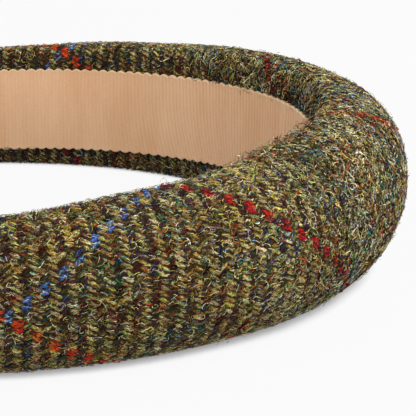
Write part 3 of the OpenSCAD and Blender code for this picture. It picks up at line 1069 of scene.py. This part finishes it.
def stray_fibres(form, rng):
    """Long thin fibres that stand off the crown beside the ribbon, where the cover was trimmed and turned."""
    side = rng.choice([-1, 1], STRAYS, p=(STRAY_FAR, 1 - STRAY_FAR))
    angle = side * rng.normal(STRAY_ANGLE, STRAY_SPREAD, STRAYS)
    upper = rng.random(STRAYS) < STRAY_UPPER
    seat_low, seat_high = form.seat(angle)
    seat = np.where(upper, seat_high, seat_low)
    distance = seat + np.where(upper, -1, 1) * rng.uniform(0.5 * MM, 6 * MM, STRAYS)
    reach = rng.lognormal(math.log(STRAY_LENGTH), 0.3, STRAYS)
    curl = rng.normal(0, 4.5, STRAYS)
    heading = rng.uniform(0, 2 * math.pi, STRAYS)
    angles, distances = fibre_lines(form, rng, angle, distance, reach, heading, curl, np.full(STRAYS, 0.35),
                                    STRAY_STEPS)
    bow = np.sin(math.pi * np.linspace(0.05, 1, STRAY_STEPS))[None, :]
    stand = rng.uniform(*STRAY_STAND, STRAYS)
    points, normals = form.cloth(angles, distances, 0.5 * form.tweed.relief + stand[:, None] * bow)
    width = form.tweed.fibre_width * rng.uniform(0.5, 0.9, STRAYS)
    kinds = rng.choice([YARNS.index("loose"), YARNS.index("dark")], STRAYS, p=(0.65, 0.35))
    tones = rng.normal(0, 1.2, STRAYS)
    return points, normals, width, rng.normal(0, 0.8, STRAYS), kinds, moods(form, angle, distance, tones)


# Most triangles in one fibre piece, which keeps it under the limit of 200,000
PIECE_TRIANGLES = 195000


def make_fibres(name, form, rng, drawn):
    """Fibre pieces of one kind, split along the band so that none grows too big."""
    points, normals, widths, roll, kinds, mood = drawn
    dyes = bpy.context.scene.headband_dyes
    dye = draw_dyes(rng, dyes, kinds, mood)
    materials = [bpy.data.materials["dyed_wool_" + d.name] for d in dyes]
    order = np.argsort(np.arctan2(points[:, 0, 0], points[:, 0, 1]), kind="stable")
    parts = math.ceil(len(order) * (points.shape[1] - 2) / PIECE_TRIANGLES)
    pieces = []
    for number, chosen in enumerate(np.array_split(order, parts)):
        pieces.append(fibre_object(f"{name}_{number + 1}", points[chosen], normals[chosen], widths[chosen],
                                   roll[chosen], dye[chosen], materials))
    return pieces


# Fineness of the ribbon's curve, points to a rib, and where the columns of the ribbon's face stand, from its
# lower edge at -1 to its upper at 1
CURVE_POINTS, RIB_POINTS = 8001, 6
RIBBON_SHARES = (-1, -0.965, -0.85, -0.6, -0.3, 0, 0.4, 0.85, 0.965, 1)
# How far the lobes of the lower and upper edge reach past the ribbon's nominal width
LOWER_LOBES, UPPER_LOBES = 0.55 * MM, 0.2 * MM
# The ribs slant where the ribbon was glued on askew: run of that place from the crown, its half width, and
# the shift of the ribs a quarter of the ribbon's width below its middle, more than doubled at the lower edge
SLANT_AT, SLANT_SPREAD, SLANT = -56 * MM, 22 * MM, 1.7 * MM
# Soft folds across the ribbon, each with its run from the crown, half width and depth
RIBBON_FOLDS = ((-16.5 * MM, 1.2 * MM, -0.8 * MM), (-19.5 * MM, 1.2 * MM, 0.45 * MM),
                (-12.5 * MM, 1.5 * MM, 0.5 * MM), (-47 * MM, 3 * MM, 0.25 * MM), (38 * MM, 2 * MM, 0.3 * MM))


def ribbon_wave(places):
    """How far the ribbon's face swells and folds between its edges, at places along it."""
    wave = 0.1 * MM * (np.sin(places / (11 * MM) + 0.6) + np.sin(places / (4.7 * MM) + 2.2) * 0.5)
    for place, spread, depth in RIBBON_FOLDS:
        wave = wave + depth * np.exp(-((places - place) / spread) ** 2)
    return wave


def make_ribbon(form):
    """The petersham ribbon, with its ribs and its scalloped edges."""
    ribbon = form.ribbon
    end = form.sizes.tip_angle * NEAR_END
    fine = np.linspace(-end, end, CURVE_POINTS)
    x, y = form.plan(fine)
    run = np.concatenate([[0], np.cumsum(np.hypot(np.diff(x), np.diff(y)))])
    run -= np.interp(0, fine, run)
    ribs = int(run[-1] / ribbon.rib_pitch)
    places = np.arange(-ribs * RIB_POINTS, ribs * RIB_POINTS + 1) * ribbon.rib_pitch / RIB_POINTS
    angles, away = np.interp(places, run, fine), np.abs(places)
    share = np.array(RIBBON_SHARES)[None, :]

    # Its edges run in lobes with notches between them, which are shallower at the crown
    cut = form.ribbon_cut(angles)
    half = np.array([form.ribbon_half(a) for a in angles])
    middle = np.array([form.width(a) for a in angles]) / 2
    lobe = ribbon.notch * (1 - np.abs(np.sin(math.pi * places / ribbon.scallop_pitch)))
    lobe *= 1 - 0.45 * (1 - smooth(away, 20 * MM, 60 * MM))
    lower = np.maximum(half + LOWER_LOBES - lobe, 0) * cut
    upper = np.maximum(half + UPPER_LOBES - lobe, 0) * cut
    up = np.where(share < 0, share * lower[:, None], share * upper[:, None])
    up = np.concatenate([up, upper[:, None], -lower[:, None]], 1)

    # The bend at the crown crowds its ribs, which stand lower along the arms. Its edges stand proud of its
    # middle at the crown, where it dishes, and bend back along the arms.
    crowding = 0.3 + 0.7 * (1 - smooth(away, 30 * MM, 95 * MM))
    rib = 0.5 + (np.abs(np.cos(math.pi * places / ribbon.rib_pitch)) - 0.5) * crowding
    face = -ribbon.glue_line - ribbon.thickness + ribbon.rib_height * (1 - rib[:, None]) * (share ** 2 < 1)
    dish = (0.75 * (1 - smooth(away, 55 * MM, 105 * MM)) - 0.25)[:, None] * MM
    face = face + ribbon_wave(places)[:, None] * (1 - share ** 2) - dish * share ** 2
    face = np.minimum(face, -ribbon.glue_line - 0.05 * MM)
    back = np.full((len(places), 1), -ribbon.glue_line)
    out = np.concatenate([face, back, back], 1)

    askew = SLANT * np.exp(-((places - SLANT_AT) / SLANT_SPREAD) ** 2)
    askew = askew[:, None] * np.maximum(0.5 - np.append(share, [[1, -1]], 1), 0) ** 2
    ways = np.interp(places[:, None] + askew, run, fine)
    plan, outward = form.plan(ways), form.outward(ways)
    points = np.stack([
        plan[0] + outward[0] * out,
        plan[1] + outward[1] * out + form.centre,
        middle[:, None] + up,
    ], -1)
    columns = len(RIBBON_SHARES) + 2
    strip = mesh_object("petersham_ribbon", points.reshape(-1, 3), wrapped_faces(len(places), columns),
                        [petersham(ribbon)])
    # The ribbon's material reads these: a painted highlight on the edges, and painted light along the arms
    selvedge_highlight = np.concatenate([share ** 2 >= 1, [[True, True]]], 1) + 0 * out
    painted_arms_light = smooth(away, 40 * MM, 110 * MM)[:, None] + 0 * out
    paint_points(strip, "rib", np.stack([np.repeat(rib[:, None], columns, 1), selvedge_highlight, painted_arms_light], -1))
    return close_ends(strip, columns)


def band_form():
    """The padded form for the scene's present sizes."""
    scene = bpy.context.scene
    return PaddedForm(scene.headband_sizes, scene.headband_tweed, scene.headband_ribbon)


class HEADBAND_OT_cover(Operator):
    """Make the tweed cover over the padding"""
    bl_idname = "headband.cover"
    bl_label = "Tweed cover"

    def execute(self, context):
        cover = make_cover(band_form())
        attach(cover, "root")
        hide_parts("padded_band")
        return {"FINISHED"}


class HEADBAND_OT_fibres(Operator):
    """Make the wool fibres of the weave and the loose ones over it"""
    bl_idname = "headband.fibres"
    bl_label = "Wool fibres"

    def execute(self, context):
        form = band_form()
        rng = np.random.default_rng(context.scene.headband_tweed.seed)
        for dye in context.scene.headband_dyes:
            dyed_wool(dye)
        bodies = make_bodies(form, rng)
        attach(bodies, "root")
        for name, drawn in (
            ("light_yarn_fibres", float_fibres(form, rng, True)),
            ("dark_yarn_fibres", float_fibres(form, rng, False)),
            ("loose_fibres", loose_fibres(form, rng)),
            ("stray_fibres", stray_fibres(form, rng)),
        ):
            for piece in make_fibres(name, form, rng, drawn):
                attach(piece, "root")
        return {"FINISHED"}


class HEADBAND_OT_ribbon(Operator):
    """Make the petersham ribbon along the inside"""
    bl_idname = "headband.ribbon"
    bl_label = "Petersham ribbon"

    def execute(self, context):
        ribbon = make_ribbon(band_form())
        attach(ribbon, "root")
        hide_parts("lining_ribbon")
        return {"FINISHED"}


# Width of the square floor, and how far under it the board lies that throws light up
FLOOR_SIZE, BOUNCE_DROP = 6.0, 0.5 * MM
# Each lamp's place, width and watts. They all face LIT_POINT.
LAMPS = (
    ("overhead_softbox", (0.12, 0.36, 0.42), 0.5, 0.82),
    ("crown_softbox", (-0.12, 0.48, 0.36), 0.24, 2.75),
    ("front_softbox", (0.5, 0.15, 0.14), 0.4, 1.75),
    ("lining_softbox", (0.1, -0.4, 0.2), 0.3, 0.5),
)
LIT_POINT = (0, 0, 0.02)
# The camera's sensor in millimetres, and the nearest and farthest that it sees
SENSOR_WIDTH, NEAREST, FARTHEST = 36, 0.01, 20


class HEADBAND_OT_stage(Operator):
    """Make the floor, the light and the camera"""
    bl_idname = "headband.stage"
    bl_label = "Stage"

    def execute(self, context):
        scene, stage = context.scene, context.scene.headband_stage
        # The glowing floor lights nothing itself. The board under it, which the camera doesn't see, does.
        half = FLOOR_SIZE / 2
        corners = np.array([[-half, -half, 0], [half, -half, 0], [half, half, 0], [-half, half, 0]])
        floor = mesh_object("studio_floor", corners, np.array([[0, 1, 2, 3]]), [studio_paper(stage)])
        floor.visible_diffuse = False
        under = corners - np.array([0, 0, BOUNCE_DROP])
        bounce = mesh_object("studio_bounce", under, np.array([[0, 1, 2, 3]]), [bounce_board(stage)])
        bounce.visible_camera = bounce.visible_glossy = bounce.visible_shadow = False

        world = bpy.data.worlds.new("soft_studio")
        world.use_nodes = True
        background = world.node_tree.nodes["Background"]
        background.inputs["Color"].default_value = (1, 1, 1, 1)
        background.inputs["Strength"].default_value = stage.sky_light
        scene.world = world
        for name, place, size, power in LAMPS:
            light = bpy.data.lights.new(name, "AREA")
            light.shape, light.size, light.energy = "SQUARE", size, power
            lamp = bpy.data.objects.new(name, light)
            lamp.location = place
            lamp.rotation_euler = (Vector(LIT_POINT) - Vector(place)).to_track_quat("-Z", "Y").to_euler()
            scene.collection.objects.link(lamp)

        a, e = stage.azimuth, stage.elevation
        back = Vector((math.sin(a) * math.cos(e), -math.cos(a) * math.cos(e), math.sin(e)))
        right = (-back).cross(Vector((0, 0, 1))).normalized()
        up = right.cross(-back)
        turn = Matrix.Rotation(stage.roll, 3, back)
        camera = bpy.data.objects.new("camera", bpy.data.cameras.new("camera"))
        camera.data.lens, camera.data.sensor_width = stage.lens, SENSOR_WIDTH
        camera.data.clip_start, camera.data.clip_end = NEAREST, FARTHEST
        axes = Matrix((turn @ right, turn @ up, back)).transposed()
        camera.matrix_world = Matrix.Translation(Vector(stage.aim) + back * stage.distance) @ axes.to_4x4()
        scene.collection.objects.link(camera)
        scene.camera = camera
        scene.view_settings.view_transform = "Standard"
        return {"FINISHED"}


class HEADBAND_PT_panel(Panel):
    """Lists the headband's pieces"""
    bl_label = "Padded headband"
    bl_idname = "HEADBAND_PT_panel"
    bl_space_type = "VIEW_3D"
    bl_region_type = "UI"
    bl_category = "Headband"

    def draw(self, context):
        for operator in OPERATORS:
            self.layout.operator(operator.bl_idname)
        for name in ("headband_sizes", "headband_tweed", "headband_ribbon", "headband_stage"):
            box = self.layout.box()
            group = getattr(context.scene, name)
            for prop in group.bl_rna.properties:
                if prop.identifier not in ("name", "rna_type"):
                    box.prop(group, prop.identifier)


OPERATORS = (HEADBAND_OT_stage, HEADBAND_OT_cover, HEADBAND_OT_fibres, HEADBAND_OT_ribbon)
CLASSES = (BandSizes, TweedSettings, WoolDye, RibbonSettings, StageSettings, *OPERATORS, HEADBAND_PT_panel)


def register():
    """Registers the classes and hangs the settings on the scene."""
    for item in CLASSES:
        bpy.utils.register_class(item)
    scene = bpy.types.Scene
    scene.headband_sizes = PointerProperty(type=BandSizes)
    scene.headband_tweed = PointerProperty(type=TweedSettings)
    scene.headband_dyes = CollectionProperty(type=WoolDye)
    scene.headband_ribbon = PointerProperty(type=RibbonSettings)
    scene.headband_stage = PointerProperty(type=StageSettings)


def unregister():
    """Takes the settings and classes away again."""
    for name in ("headband_sizes", "headband_tweed", "headband_dyes", "headband_ribbon", "headband_stage"):
        delattr(bpy.types.Scene, name)
    for item in reversed(CLASSES):
        bpy.utils.unregister_class(item)


def main():
    """Makes the whole headband and its stage."""
    register()
    for name, code, *shares in DYES:
        dye = bpy.context.scene.headband_dyes.add()
        dye.name, dye.colour = name, srgb(code)
        for yarn, share in zip(YARNS, shares):
            setattr(dye, yarn, share)
    bpy.ops.headband.stage()
    bpy.ops.headband.cover()
    bpy.ops.headband.fibres()
    bpy.ops.headband.ribbon()


if __name__ == "__main__":
    main()
